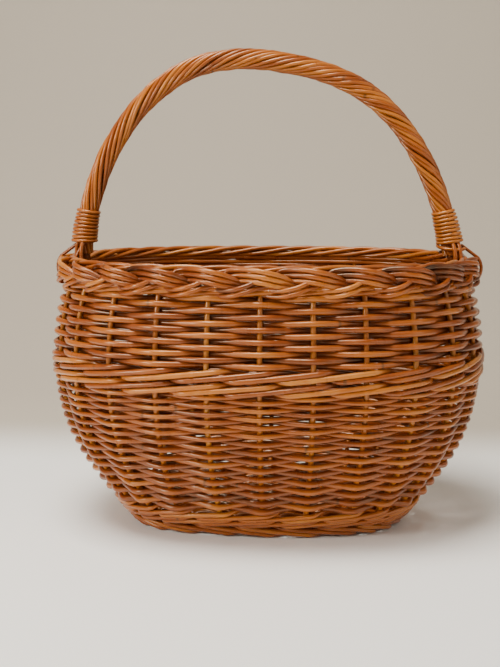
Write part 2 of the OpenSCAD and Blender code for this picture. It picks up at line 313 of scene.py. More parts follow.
def willow(name, shift=0.0, coat=0.3, rough=0.30):
    """Stained and varnished willow. `shift` makes the whole piece paler or darker."""
    material = bpy.data.materials.new(name)
    material.use_nodes = True
    tree = material.node_tree
    shader = tree.nodes["Principled BSDF"]
    place = add_node(tree, "ShaderNodeUVMap", uv_map=GRAIN_MAP).outputs["UV"]
    space = add_node(tree, "ShaderNodeTexCoord").outputs["Object"]
    fibres = stretched_noise(tree, place, (9, 1.6, 1), 3.0, 4)
    blotches = stretched_noise(tree, place, (1.2, 1.5, 1), 2.2, 2)
    patches = stretched_noise(tree, space, (1, 1, 1), 28.0, 2)
    total = sum_up(tree, read_value(tree, "tone"), fibres, 0.26)
    total = sum_up(tree, total, blotches, 0.26)
    total = sum_up(tree, total, patches, 0.20)
    # Painted shade: points that lie deep in the weave are darkened.
    total = sum_up(tree, total, read_value(tree, "painted_shade"), -0.30)
    level = add_node(tree, "ShaderNodeMath", operation="ADD")
    level.inputs[1].default_value = shift - NOISE_MIDDLE
    tree.links.new(total, level.inputs[0])
    ramp = add_node(tree, "ShaderNodeValToRGB")
    while len(ramp.color_ramp.elements) < len(BROWNS):
        ramp.color_ramp.elements.new(0.5)
    for stop, (where, colour) in zip(ramp.color_ramp.elements, BROWNS):
        stop.position = where
        stop.color = (*colour, 1)
    tree.links.new(level.outputs[0], ramp.inputs["Fac"])
    tree.links.new(dark_scars(tree, place, ramp.outputs["Color"]), shader.inputs["Base Color"])
    bump = add_node(tree, "ShaderNodeBump")
    bump.inputs["Strength"].default_value = 0.35
    bump.inputs["Distance"].default_value = 0.25 * MM
    tree.links.new(fibres, bump.inputs["Height"])
    tree.links.new(bump.outputs["Normal"], shader.inputs["Normal"])
    gloss = add_node(tree, "ShaderNodeMapRange")
    gloss.inputs["To Min"].default_value = rough - 0.10
    gloss.inputs["To Max"].default_value = rough + 0.12
    tree.links.new(blotches, gloss.inputs["Value"])
    tree.links.new(gloss.outputs["Result"], shader.inputs["Roughness"])
    shader.inputs["Coat Weight"].default_value = coat
    shader.inputs["Coat Roughness"].default_value = 0.13
    shader.inputs["Specular IOR Level"].default_value = 0.75
    shader.inputs["Specular Tint"].default_value = VARNISH_TINT
    return material


def dark_scars(tree, place, colour):
    """Mixes small dark scars into a colour, scattered along each rod."""
    mapping = add_node(tree, "ShaderNodeMapping")
    mapping.inputs["Scale"].default_value = (1.1, 2.4, 1)
    tree.links.new(place, mapping.inputs["Vector"])
    cells = add_node(tree, "ShaderNodeTexVoronoi", voronoi_dimensions="2D")
    cells.inputs["Scale"].default_value = 1.0
    tree.links.new(mapping.outputs["Vector"], cells.inputs["Vector"])
    spot = add_node(tree, "ShaderNodeMapRange")
    spot.inputs["From Min"].default_value = 0.02
    spot.inputs["From Max"].default_value = 0.05
    spot.inputs["To Min"].default_value = 0.7
    spot.inputs["To Max"].default_value = 0.0
    tree.links.new(cells.outputs["Distance"], spot.inputs["Value"])
    mix = mix_colours(tree, spot.outputs["Result"], SCAR)
    tree.links.new(colour, mix.inputs[MIX_FIRST])
    return mix.outputs[MIX_RESULT]


WILLOW = willow("varnished willow")
DARK_WILLOW = willow("dark varnished willow", shift=-0.10, coat=0.15, rough=0.42)
print("materials:", WILLOW.name, "and", DARK_WILLOW.name)


# %% [markdown]
# ## A bundle of rods
# One sub-part of the basket is several rods. They are modelled one by one and then joined, because a
# maker also thinks of a round of waling as one thing. Joining keeps each rod closed in itself. The ends
# of a bevelled path are loose discs, so the bundle's doubled points are merged, and the faces are then
# turned to point outwards. Shading is smooth along the rod and sharp round its cut ends.

# %% Join, close and register a bundle
PIECES = []
SAME_PLACE = 0.002 * MM


def bundle(name, rods, nodes, material=None):
    """Joins rods into one named piece that stands for the given solid parts."""
    bpy.ops.object.select_all(action="DESELECT")
    for one in rods:
        one.select_set(True)
    bpy.context.view_layer.objects.active = rods[0]
    if len(rods) > 1:
        bpy.ops.object.join()
    piece = bpy.context.view_layer.objects.active
    bpy.ops.object.mode_set(mode="EDIT")
    bpy.ops.mesh.select_all(action="SELECT")
    bpy.ops.mesh.remove_doubles(threshold=SAME_PLACE)
    bpy.ops.mesh.normals_make_consistent(inside=False)
    bpy.ops.object.mode_set(mode="OBJECT")
    bpy.ops.object.shade_smooth_by_angle(angle=math.radians(50))
    piece.name = name.replace(" ", "_")
    piece.data.name = piece.name
    piece.data.materials.clear()
    piece.data.materials.append(material or WILLOW)
    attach(piece, "root")
    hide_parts(*nodes)
    PIECES.append(piece)
    return piece


# %% [markdown]
# ## The base
# An oval basket starts with a cross of sticks. Six short thick sticks are slit in the middle, and four
# long ones pass through the slits. Thin rods are then woven round and round the cross, over one stick
# and under the next, and every round takes the other side of the sticks from the one before it. The
# rounds could be flat rings, but seen from inside the basket the base would then look like a grooved
# plate. So each round is a path that rises and falls over the sticks that it really meets.

# %% The sticks
SHORT_STICK = 10 * MM
LONG_STICK = 6 * MM
STAKE_FOOT = 20 * MM
END_GAP = 1 * MM
stick_edge = wall_out(base_height) - STAKE_FOOT - STAKE / 2 - END_GAP
stick_x = [plan(s, stick_edge)[0] for s in (0.5, 1.5, 2.5)]
stick_y = [LONG_STICK / 2 + CLEAR, 1.5 * LONG_STICK + 3 * CLEAR]


def reach_x(y):
    """How far along the base a long stick at y runs."""
    y = y + LONG_STICK / 2
    return end_centre + math.sqrt((end_radius + stick_edge) ** 2 - y ** 2)


def reach_y(x):
    """How far across the base a short stick at x runs."""
    x = x + SHORT_STICK / 2
    edge = side_radius + stick_edge
    if x < edge * math.sin(side_angle):
        return math.sqrt(edge ** 2 - x ** 2) - side_centre
    return math.sqrt((end_radius + stick_edge) ** 2 - (x - end_centre) ** 2)


def base_stick(start, end, diameter):
    """A straight stick of the base."""
    points = [start.lerp(end, s) for s in steps(0, 1, 0.06)]
    return rod(points, diameter, some_tone(0.42), painted_shade=0.3)


long_sticks = []
for y in stick_y:
    for side in (-1, 1):
        start = Vector((-reach_x(y), side * y, base_height))
        end = Vector((reach_x(y), side * y, base_height))
        long_sticks.append(base_stick(start, end, LONG_STICK))
bundle("long base sticks", long_sticks, ["base_long_sticks"], DARK_WILLOW)

# %% [markdown]
# The short sticks are slit where the long ones pass, so each is two half-round cheeks there. A box that
# is cut away with a boolean modifier opens the slit, as a knife does in the real stick.

# %% The slit sticks
short_sticks = []
slit_half = stick_y[1] + LONG_STICK / 2 + CLEAR
for x in stick_x:
    for side in (-1, 1):
        start = Vector((side * x, -reach_y(x), base_height))
        end = Vector((side * x, reach_y(x), base_height))
        stick = base_stick(start, end, SHORT_STICK)
        bpy.ops.object.mode_set(mode="EDIT")
        bpy.ops.mesh.select_all(action="SELECT")
        bpy.ops.mesh.remove_doubles(threshold=SAME_PLACE)
        bpy.ops.object.mode_set(mode="OBJECT")
        bpy.ops.object.select_all(action="DESELECT")
        bpy.ops.mesh.primitive_cube_add(size=1, location=(side * x, 0, base_height))
        knife = bpy.context.object
        knife.scale = (SHORT_STICK * 1.4, 2 * slit_half, LONG_STICK + 2 * CLEAR)
        cut = stick.modifiers.new("slit", "BOOLEAN")
        cut.object = knife
        cut.operation = "DIFFERENCE"
        bpy.context.view_layer.objects.active = stick
        bpy.ops.object.modifier_apply(modifier=cut.name)
        bpy.data.objects.remove(knife)
        short_sticks.append(stick)
bundle("slit base sticks", short_sticks, ["base_short_sticks"], DARK_WILLOW)
print("short sticks at", [round(x, 3) for x in stick_x])

# %% [markdown]
# A round of the base weave lies between a tight oblong round the cross and the oval of the wall's foot.
# The crossings with the sticks are found by stepping along it, and the rod is lifted over or under at
# each of them by a stick's radius and its own.

# %% The woven rounds
BASE_ROD = 3.7 * MM
BASE_ROUNDS = 13
WEAVE_INSET = 6.5 * MM
edge_out = wall_out(base_height) - WEAVE_INSET
slath_x = stick_x[-1] + SHORT_STICK / 2 + BASE_ROD * 1.4
slath_y = stick_y[-1] + LONG_STICK / 2 + BASE_ROD * 0.9


def squared(value):
    """Pulls the sine or cosine of an angle out towards an oblong's side."""
    return math.copysign(math.sqrt(abs(value)), value)


def base_place(stake, share):
    """A point of the base round: share 0 is round the cross and 1 at the wall's foot."""
    x, y = plan(stake, edge_out)
    angle = math.atan2(y / (line_y + edge_out), x / (line_x + edge_out))
    inner = (slath_x * squared(math.cos(angle)), slath_y * squared(math.sin(angle)))
    return x * share + inner[0] * (1 - share), y * share + inner[1] * (1 - share)


def crossings(share):
    """The stake numbers where a round meets a stick, and how far it must rise over it."""
    met = []
    fine = 720
    places = [base_place(STAKES * i / fine, share) for i in range(fine + 1)]
    for i in range(fine):
        (x0, y0), (x1, y1) = places[i], places[i + 1]
        middle = STAKES * (i + 0.5) / fine
        for x in [s * v for v in stick_x for s in (-1, 1)]:
            if (x0 - x) * (x1 - x) <= 0 and abs(y0) > slath_y * 0.7:
                met.append((middle, SHORT_STICK / 2 + BASE_ROD / 2))
        for y in [s * v for v in stick_y for s in (-1, 1)]:
            if (y0 - y) * (y1 - y) <= 0 and abs(x0) > slath_x * 0.9:
                met.append((middle, LONG_STICK / 2 + BASE_ROD / 2))
    return met


def base_round(number):
    """One round of the base weave as a rod."""
    share = number / (BASE_ROUNDS - 1)
    met = crossings(share)
    met.append((met[0][0] + STAKES, met[0][1]))
    points = []
    shade_depths = []
    for i, ((start, rise), (end, next_rise)) in enumerate(zip(met, met[1:])):
        side = 1 if (i + number) % 2 == 0 else -1
        for part in steps(0, 1, 1 / max(4, round((end - start) * 7)))[:-1]:
            turn = smooth(part)
            lift = side * (rise * (1 - turn) - next_rise * turn)
            x, y = base_place(start + (end - start) * part, share)
            points.append(Vector((x, y, base_height + lift)))
            # Painted shade: darker where the round dips under a stick.
            shade_depths.append(0.5 - lift / (16 * MM))
    return rod(points, BASE_ROD, some_tone(0.5), painted_shade=shade_depths, taper=0.1)


rounds = [base_round(number) for number in range(BASE_ROUNDS)]
base_nodes = ["base_weave_top", "base_weave_underside"]
bundle("base weave", rounds, base_nodes)
print("base rounds:", len(rounds), "with", len(crossings(1.0)), "crossings each")

# %% [markdown]
# ## Stakes and pegs
# A stake is a rod whose butt is pushed in beside a base stick. It is kinked upwards at the base's edge,
# and rises through the whole wall into the border. Beside each stake a short peg is driven down through
# the first rounds of the wall, and the foot is woven on those pegs. Both are plain rods that follow the
# wall's profile. Near the ground the stakes stand closer together, at FOOT_SHARE of their spacing at
# the widest part.

# %% Stakes
STAKE_TOP = border_low.z + 10 * MM
stakes = []
for number in range(STAKES):
    points = []
    for inset in (20, 16, 12, 8, 5, 3):
        x, y = plan(number, wall_out(base_height) - inset * MM)
        points.append(Vector((x, y, base_height)))
    points += [wall_point(number, z) for z in steps(base_height + 1.5 * MM, STAKE_TOP, 4 * MM)]
    # Painted shade: the stake's foot under the base weave is darkened much, the rest of it only a little.
    shade_depths = [0.1 if p.z > base_height + 4 * MM else 0.8 for p in points]
    # The stakes take a paler tone than the rows: a painted highlight for the golden shine they catch.
    stakes.append(rod(points, STAKE, some_tone(0.70, 0.07), painted_shade=shade_depths, taper=0.12))
bundle("side stakes", stakes, ["side_stakes"])

# %% Pegs of the foot
PEG = 3.4 * MM
FOOT_SHARE = 0.68
peg_low, peg_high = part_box("foot_pegs")
peg_heights = steps(peg_low.z + 0.5 * MM, peg_high.z - 2 * MM, 4 * MM)
peg_beside = (STAKE / 2 + PEG / 2 + CLEAR) / (quarter_run * 4 / STAKES * FOOT_SHARE)
pegs = []
for number in range(STAKES):
    points = [wall_point(number + peg_beside, z) for z in peg_heights]
    pegs.append(rod(points, PEG, some_tone(0.4, 0.1), painted_shade=0.6))
bundle("foot pegs", pegs, ["foot_pegs"])
print("stakes:", len(stakes), "pegs:", len(pegs))

# %% [markdown]
# ## Waling
# Waling is the strong weave that locks the stakes. Three rods travel together: each passes in front of
# two stakes and behind the third, and while it is in front it climbs over the rod ahead of it. That
# gives the slanting strokes of a rope. Three stacked rings would have the same size but no slant, so a
# rod's height and its distance from the stakes are both worked out from `step`, which counts from 0
# behind one stake to 3 behind the next one that it passes.


# %% The route of a waling rod
COMES_OUT = 0.6
GOES_IN = 2.1
SIDE_CHANGE = 0.5


def wale_side(step):
    """1 in front of the stakes and -1 behind them."""
    hidden = max(smooth((step - GOES_IN) / SIDE_CHANGE), smooth((COMES_OUT - step) / SIDE_CHANGE))
    return 1 - 2 * hidden


def wale_climb(step):
    """Height of the rod over the round's middle: a steady climb in front and a swift drop behind."""
    if COMES_OUT <= step <= GOES_IN:
        return step - 1.5
    part = ((step + 3 if step < COMES_OUT else step) - GOES_IN) / (3 - GOES_IN + COMES_OUT)
    rise = part * (1 - part) ** 2 + part ** 2 * (part - 1)
    return 0.6 * (1 - smooth(part)) - 0.9 * smooth(part) + 1.5 * rise


def wale_rod(number, middle, slope, diameter, upright, start=0, level=False, lie=1.0):
    """A rod of waling. A negative slope makes it fall to the right, and `lie` draws it in at the front."""
    points = []
    shade_depths = []
    reach = upright / 2 + diameter / 2 + CLEAR / 2
    drift = chance.uniform(0, 6)
    first = chance.randrange(STAKES // 3) * 3 - number + start
    for stake in steps(first - 0.25, first + STAKES + 0.25, 1 / 12):
        step = (stake + number - start) % 3
        side = wale_side(step)
        climb = wale_climb(step)
        z = middle + slope * climb + 0.3 * MM * math.sin(stake * 1.7 + drift)
        front = reach * (side if side < 0 else side * lie)
        points.append(wall_point(stake, z, front, level))
        # Painted shade: darker where the rod passes behind the stakes.
        shade_depths.append(0.5 - 0.5 * side)
    return rod(points, diameter, some_tone(0.54), painted_shade=shade_depths, taper=0.12)


def waling(name, nodes, middle, slope, diameter, upright=STAKE, start=0, level=False):
    """A whole round of three-rod waling."""
    rods = [wale_rod(j, middle, slope, diameter, upright, start, level) for j in range(3)]
    return bundle(name, rods, nodes)


# %% Foot, upsett and middle wales
FOOT_ROD = 5.0 * MM
FOOT_SLOPE = 5.0 * MM
UPSETT_ROD = 4.5 * MM
UPSETT_SLOPE = 4.0 * MM
foot_middle = FOOT_ROD / 2 + 0.66 * FOOT_SLOPE + 0.2 * MM
waling("foot border", ["foot_border"], foot_middle, -FOOT_SLOPE, FOOT_ROD, upright=PEG, level=True)

upsett_low, upsett_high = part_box("upsett_wale")
upsett_middle = (upsett_low.z + upsett_high.z) / 2
upsett_rods = []
for middle, start in ((upsett_middle - 3.4 * MM, 1), (upsett_middle + 3.8 * MM, 2)):
    upsett_rods += [wale_rod(j, middle, UPSETT_SLOPE, UPSETT_ROD, STAKE, start) for j in range(3)]
bundle("upsett wale", upsett_rods, ["upsett_wale"])

second_low, second_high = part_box("middle_wale_upper")
low_middle = (wide_low.z + wide_high.z) / 2
high_middle = (second_low.z + second_high.z) / 2
waling("lower middle wale", ["middle_wale_lower"], low_middle, 4.9 * MM, 4.8 * MM)
waling("upper middle wale", ["middle_wale_upper"], high_middle, 5.4 * MM, 5.3 * MM, start=2)
print("wales at", [round(z, 4) for z in (foot_middle, upsett_middle, low_middle, high_middle)])

# %% [markdown]
# ## The walls
# The walls are randing, the plainest weave: in front of one stake and behind the next, with each row
# opposite to the one under it. A row isn't one endless ring. The maker lays in a new rod where the last
# runs out, with both ends hidden behind a stake, so a row here is two or three rods, thick at the butt
# and thin at the tip. Low in the wall the stakes are close together and the rods bend sharply round
# them, which the `kink` adds. A little wander in height keeps the rows from looking ruled. The rods at
# the back are a little thicker and lie closer to the stakes, so that the lit floor doesn't glare through.


# %% One row of randing
SQUEEZE = 0.93
TUCKED_END = 0.30
END_DROP = 0.9 * MM
END_SINK = 1.2 * MM
BACK_BLEND = 60 * MM
BACK_SWELL = 0.2
BACK_SQUEEZE = 0.13


def randing(name, node, z, diameter, parity, kink, lift):
    """A woven row. Parity 0 or 1 says which stakes it passes in front of, where it lies `lift` higher."""
    reach = SQUEEZE * (STAKE / 2 + diameter / 2)
    count = chance.choice((2, 2, 3))
    first = 2 * chance.randrange(STAKES // 2) + parity
    ends = [first + 2 * round(STAKES * i / count / 2) for i in range(count)] + [first + STAKES]
    waves = [(chance.uniform(0.5, 3.2), chance.uniform(0, 6), chance.uniform(0.10, 0.30)) for _ in range(3)]
    rods = []
    for start, end in zip(ends, ends[1:]):
        points = []
        shade_depths = []
        swell = []
        for stake in steps(start - TUCKED_END, end + TUCKED_END, 1 / 12):
            turn = math.pi * (stake + parity)
            side = -(math.cos(turn) + kink * math.cos(3 * turn)) / (1 + kink)
            past = max(start - stake, stake - end, 0) / TUCKED_END
            wander = sum(size * math.sin(speed * (stake - first) + shift) for speed, shift, size in waves)
            height = z + wander * MM + lift * side
            height += math.copysign(END_DROP, stake - (start + end) / 2) * past
            back = smooth(wall_point(stake, z).y / BACK_BLEND)
            front = reach * side * (1 - BACK_SQUEEZE * back) - END_SINK * past
            points.append(wall_point(stake, height, front))
            # Painted shade: darker where the rod passes behind the stakes.
            shade_depths.append(0.5 - 0.5 * side)
            swell.append(1 + BACK_SWELL * back)
        rods.append(rod(points, diameter, some_tone(0.5), painted_shade=shade_depths, taper=0.14, swell=swell))
    return bundle(name, rods, [node])


# %% Lower and upper walls
LOWER_ROWS = 28
UPPER_ROWS = 12
UPPER_ROD = 5.6 * MM
UPPER_KINK = 0.05


def row_height(node):
    """Height of the middle of a solid row."""
    low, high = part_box(node)
    return (low.z + high.z) / 2


for number in range(1, LOWER_ROWS + 1):
    node = f"lower_row_{number:02d}"
    share = (number - 1) / (LOWER_ROWS - 1)
    diameter = (6.1 - 3.2 * share + 1.2 * share ** 2) * MM
    kink = 0.14 - 0.06 * share
    lift = 0.5 * (1 - share) * MM
    randing(f"lower row {number:02d}", node, row_height(node), diameter, number % 2, kink, lift)

for number in range(1, UPPER_ROWS + 1):
    node = f"upper_row_{number:02d}"
    randing(f"upper row {number:02d}", node, row_height(node), UPPER_ROD, number % 2, UPPER_KINK, 0)
print("rows:", LOWER_ROWS, "below and", UPPER_ROWS, "above the middle wales")

# %% [markdown]
# ## The plaited border
# At the rim the stakes are bent down one after another and plaited, three rods at a time. One group of
# rods comes up from inside, rolls over the rim, runs down across the front, tucks under the next group,
# rises again in front and ends inside. A single fat strand could stand for a group, but the fine
# parallel rods are what makes the border look plaited. So one formula gives the group's route, and each
# rod in it has a lane of its own. LANES holds each rod's lane and how many degrees of the route it
# goes: two rods are long and one ends early.

# %% Groups of the border
BORDER_ROD = 4.5 * MM
BORDER_WIDTH = 20.6 * MM
PLAIT_STAKES = 3
LANES = ((1, 380), (0, 386), (-1, 236))
PLAIT_DEPTH = 6.2 * MM
PLAIT_OUT = 0.6 * MM
PLAIT_DROP = 2.0 * MM
BOTTOM_REACH = 9.4 * MM
TOP_REACH = 7.0 * MM
BOTTOM_SPREAD = 2.6 * MM
TOP_SPREAD = 5.1 * MM
SUNK_DEPTH = 11 * MM
border_middle = (border_low.z + border_high.z) / 2
border_out = border_high.x - line_x - BORDER_WIDTH / 2


def plait_point(stake, turn, beside):
    """A point of the plait: `turn` is how far the group has gone, and `beside` sets a rod apart."""
    rise = math.sin(turn)
    ease = smooth((rise + 0.45) / 0.9)
    reach = BOTTOM_REACH + (TOP_REACH - BOTTOM_REACH) * ease
    spread = BOTTOM_SPREAD + (TOP_SPREAD - BOTTOM_SPREAD) * ease
    out = border_out + PLAIT_OUT - PLAIT_DEPTH * math.sin(2 * turn)
    sunk = 1 - smooth((turn - 0.15) / 0.65)
    x, y = plan(stake, out - 1.5 * MM * sunk)
    middle = border_middle - PLAIT_DROP - SUNK_DEPTH * sunk
    return Vector((x, y, middle + reach * rise + spread * beside * (1 - 0.4 * sunk)))


def border_group(number):
    """The three rods that belong to one stake. The middle one takes the lowest lane after half a turn."""
    rods = []
    tone = some_tone(0.52, 0.10)
    for beside, last in LANES:
        points = []
        shade_depths = []
        for degrees in steps(10, last, 8):
            turn = math.radians(degrees)
            stake = number + degrees / 360 * PLAIT_STAKES
            lane = beside
            if beside == 0 and degrees > 180:
                lane = -smooth((degrees - 180) / 60)
            points.append(plait_point(stake, turn, lane))
            # Painted shade: darker where the group lies deep in the plait.
            shade_depths.append(0.5 + 0.5 * math.sin(2 * turn))
        shade = min(1, max(0, tone + chance.uniform(-0.14, 0.14)))
        rods.append(rod(points, BORDER_ROD, shade, painted_shade=shade_depths, taper=0.18))
    return rods


# %% [markdown]
# Behind the plait, the inside of the rim is finished with a rope of four rods that lies along the top
# edge. Seen from inside, its strokes rise to the right. It is a helix with a flattened section, and it
# gives way a little where the handle comes through. Plain rods line the rim below it, and a last round
# of waling closes the wall under the plait.

# %% The rope and the lining inside the rim
ROPE_ROD = 4.4 * MM
ROPE_STAKES = 3.0
ROPE_INSET = 8.4 * MM
ROPE_WIDTH = 2.6 * MM
ROPE_HEIGHT = 4.0 * MM
ROPE_BELOW_TOP = 6.6 * MM
LINING_ROD = 4.7 * MM
LINING_INSET = 7.6 * MM


def rope_rod(number):
    """One rod of the rope inside the rim."""
    points = []
    first = chance.uniform(0, STAKES)
    for stake in steps(first, first + STAKES, 1 / 14):
        turn = 2 * math.pi * (stake / ROPE_STAKES + number / 4)
        past_handle = abs(stake % (STAKES / 2) - STAKES / 4)
        away = 1.6 * MM * (1 - smooth(past_handle / 0.7))
        x, y = plan(stake, border_out - ROPE_INSET + away - ROPE_WIDTH * math.cos(turn))
        points.append(Vector((x, y, border_high.z - ROPE_BELOW_TOP - ROPE_HEIGHT * math.sin(turn))))
    return rod(points, ROPE_ROD, some_tone(0.52, 0.08), painted_shade=0.25, taper=0.06)


def lining_rod(z):
    """A plain rod that lies round the inside of the plait, under the rope."""
    points = []
    first = chance.uniform(0, STAKES)
    for stake in steps(first, first + STAKES, 1 / 8):
        x, y = plan(stake, border_out - LINING_INSET + 0.9 * MM * math.sin(stake * 2.1 + first))
        points.append(Vector((x, y, z + 0.5 * MM * math.sin(stake * 1.3 + first))))
    return rod(points, LINING_ROD, some_tone(0.5, 0.07), painted_shade=0.3, taper=0.06)


TOP_WALE_ROD = 4.9 * MM
TOP_SLOPE = 3.0 * MM
top_middle = border_low.z + 3.0 * MM
inner_rods = [rope_rod(number) for number in range(4)]
inner_rods += [lining_rod(border_middle - below * MM) for below in (0.2, 4.6, 9.0)]
inner_rods += [wale_rod(j, top_middle, TOP_SLOPE, TOP_WALE_ROD, STAKE, 2, lie=0.85) for j in range(3)]

# %% The plait with its rope and lining
for strand in range(PLAIT_STAKES):
    rods = inner_rods if strand == 0 else []
    for number in range(strand, STAKES, PLAIT_STAKES):
        rods += border_group(number)
    bundle(f"border plait {strand + 1}", rods, [f"border_strand_{strand + 1}"])
print("border middle", round(border_middle, 4))

# %% [markdown]
# ## The handle
# The handle is a thick rod bent into a bow, with its ends pushed down inside the wall. No bow grows as a
# true half ellipse: this one is drawn in at its sides, flattened at its crown, and leans and drifts to
# one side. Twelve thin rods are laid along it and wound round it like the strands of a rope. A twisted
# cylinder would only give the pattern at its surface. Here each wrapping rod is a helix about the bow,
# wound faster on the right than on the left, and pressed in where the bindings hold it.

# %% The bow
BOW = 11 * MM
BOW_GAP = 1.6 * MM
FLAT = 4 * MM
WRAP_ROD = 4.0 * MM
bow_low, bow_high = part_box("handle_bow")
spring_height = border_high.z - 4 * MM
bow_rise = bow_high.z + FLAT - BOW / 2 - spring_height
bow_span = line_x + border_out - BORDER_WIDTH / 2 - BOW_GAP - BOW / 2
PINCH = 4.4 * MM
LEAN = 16 * MM
DRIFT = 6.4 * MM
ROW_ROOM = 4.2 * MM
LEG_GAP = 1.2 * MM


def bow_point(angle):
    """A point of the bow's middle line: angle 0 is the right foot and pi the left one."""
    x = math.cos(angle) * (bow_span - PINCH * math.sin(3 * angle))
    x -= DRIFT * math.sqrt(abs(math.sin(angle)))
    z = spring_height + bow_rise * math.sin(angle) - FLAT * math.sin(angle) ** 12
    return Vector((x, 0, z - LEAN * math.cos(angle) * math.sin(angle) ** 8))


def round_bow(angle, turned, radius):
    """A point `radius` from the middle line, turned so far round it."""
    ahead = (bow_point(angle + 0.01) - bow_point(angle - 0.01)).normalized()
    inward = ahead.cross(Vector((0, 1, 0)))
    return bow_point(angle) + radius * (math.cos(turned) * inward + math.sin(turned) * Vector((0, 1, 0)))


def leg(side):
    """The bow's hidden end, down inside the wall."""
    inset = STAKE / 2 + ROW_ROOM + BOW / 2 + LEG_GAP
    heights = steps(bow_low.z + 1 * MM, border_low.z - 2 * MM, 8 * MM)
    return [Vector((side * (line_x + wall_out(z) - inset), 0, z)) for z in heights]


arch = [bow_point(a) for a in steps(0, math.pi, 0.04)]
bow_line = leg(1) + arch + leg(-1)[::-1]
bundle("handle bow", [rod(bow_line, BOW, 0.45, painted_shade=0.7)], ["handle_bow"])

# %% The wrapping rods
WRAP_RODS = 12
WRAP_START = 0.02
COIL_TOP = 0.23
WRAP_SQUEEZE = 1.0 * MM
WRAP_WAVE = 0.35 * MM
wrap_radius = BOW / 2 + 0.6 * MM + WRAP_ROD / 2


def wrap_turn(angle):
    """How far round the bow a wrapping rod has come: quick on the right and slower on the left."""
    share = angle / math.pi
    return 2 * math.pi * (6.4 * share - 1.75 * share ** 2)


wrap_rods = []
for number in range(WRAP_RODS):
    points = []
    lag = chance.uniform(-0.09, 0.09)
    sway = chance.uniform(0, 6)
    for angle in steps(WRAP_START, math.pi - WRAP_START, 0.018):
        turned = wrap_turn(angle) + 2 * math.pi * number / WRAP_RODS + lag
        turned += 0.07 * math.sin(7 * angle + sway)
        above_foot = min(angle, math.pi - angle)
        free = smooth((above_foot - COIL_TOP) / 0.12 + 0.6)
        radius = wrap_radius - WRAP_SQUEEZE * (1 - free)
        radius += WRAP_WAVE * free * math.sin(11 * angle + 2 * sway)
        points.append(round_bow(angle, turned, radius))
    wrap_rods.append(rod(points, WRAP_ROD, some_tone(0.50, 0.09), painted_shade=0.05, taper=0.10))
bundle("handle wrap", wrap_rods, ["handle_wrap"])
print("handle top", round(bow_high.z, 4), "wrap radius", round(wrap_radius, 4))

# %% [markdown]
# ## Bindings
# Where the handle leaves the rim, a thin rod is wound tightly round it nine times, so that the
# wrapping can't spread. Its end goes down over the border and is pushed into the weave below, which
# holds the handle to the basket. The coil is the same helix as before, only much tighter.

# %% Coils and tie rods
BINDING_ROD = 3.4 * MM
COILS = 9
COIL_SHRINK = 1.6 * MM
TIE_REACH = 9.2 * MM + BINDING_ROD / 2
TIE_ROOT = 7.5 * MM
TIE_DEGREES = (74, 44, 16, -12, -40, -68)
on_wrap = wrap_radius + WRAP_ROD / 2 + BINDING_ROD / 2
coil_low, coil_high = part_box("right_binding")


def coil(side):
    """The rod wound round one foot of the handle, wider at its lower turns."""
    first = coil_low.z + BINDING_ROD / 2 + 2.6 * MM
    last = coil_high.z - BINDING_ROD / 2 + 0.6 * MM
    points = []
    sway = chance.uniform(0, 6)
    for turned in steps(0, COILS, 1 / 18):
        share = turned / COILS
        z = first + (last - first) * share
        angle = math.asin((z - spring_height) / bow_rise)
        radius = on_wrap + 0.3 * MM - COIL_SHRINK * share
        radius += 0.12 * MM * math.sin(turned * 1.3 + sway)
        angle = angle if side > 0 else math.pi - angle
        spot = round_bow(angle, 2 * math.pi * turned + 1.0, radius)
        spot.z += 0.15 * MM * math.sin(turned * 2.1 + sway)
        points.append(spot)
    return rod(points, BINDING_ROD, some_tone(0.58, 0.08), painted_shade=0.1, taper=0.08)


def eased_line(spots, size=2.0 * MM):
    """A smooth line through a few points."""
    spots = [2 * spots[0] - spots[1]] + spots + [2 * spots[-1] - spots[-2]]
    points = []
    for a, b, c, d in zip(spots, spots[1:], spots[2:], spots[3:]):
        for t in steps(0, 1, size / (c - b).length)[:-1]:
            bend = 2 * b + (c - a) * t + (2 * a - 5 * b + 4 * c - d) * t ** 2
            points.append((bend + (3 * b - a - 3 * c + d) * t ** 3) / 2)
    return points + [spots[-2]]


def tie_rod(side, over):
    """A rod from under the coil, out over the border and in below it."""
    middle = line_x + border_out
    tall = (border_high.z - border_low.z) / 2 + over
    spots = [Vector((bow_span + TIE_ROOT, 0, coil_low.z + 3 * MM))]
    for degrees in TIE_DEGREES:
        turn = math.radians(degrees)
        x = middle + TIE_REACH * math.cos(turn)
        spots.append(Vector((x, 0, border_middle + tall * math.sin(turn))))
    spots = [Vector((side * spot.x, spot.y, spot.z)) for spot in spots]
    return rod(eased_line(spots), BINDING_ROD, some_tone(0.42, 0.06), painted_shade=0.3)


# %% [markdown]
# The wrapping rods don't stop at the coil. Below it their ends spread like a foot, and each is pushed
# down into the border beside the bow. The right binding's own end makes one loose turn before it does.
# FOOT_ENDS says where each end leaves the coil, and how far from the bow and across the rim it goes in.


# %% Ends below the coil
FOOT_TOP = 0.10
LOOSE_TOP = 0.084
FOOT_ENDS = ((3.9, 7, -13), (4.6, 1, -15), (5.2, 8, -7), (2.2, 6, 12), (1.5, 1, 15))


def foot_end(side, turned, away, across):
    """A rod's end from under the coil down into the border, `away` from the bow and `across` the rim."""
    top = round_bow(FOOT_TOP if side > 0 else math.pi - FOOT_TOP, turned, wrap_radius)
    low = Vector((side * (bow_span + away), across, border_high.z - 5 * MM))
    sunk = Vector((side * (bow_span + away * 1.3), across * 1.15, border_high.z - 14 * MM))
    middle = top.lerp(low, 0.5) + Vector((side * 0.8 * MM, across * 0.12, 1.5 * MM))
    return rod(eased_line([top, middle, low, sunk]), WRAP_ROD, some_tone(0.5, 0.1), painted_shade=0.3)


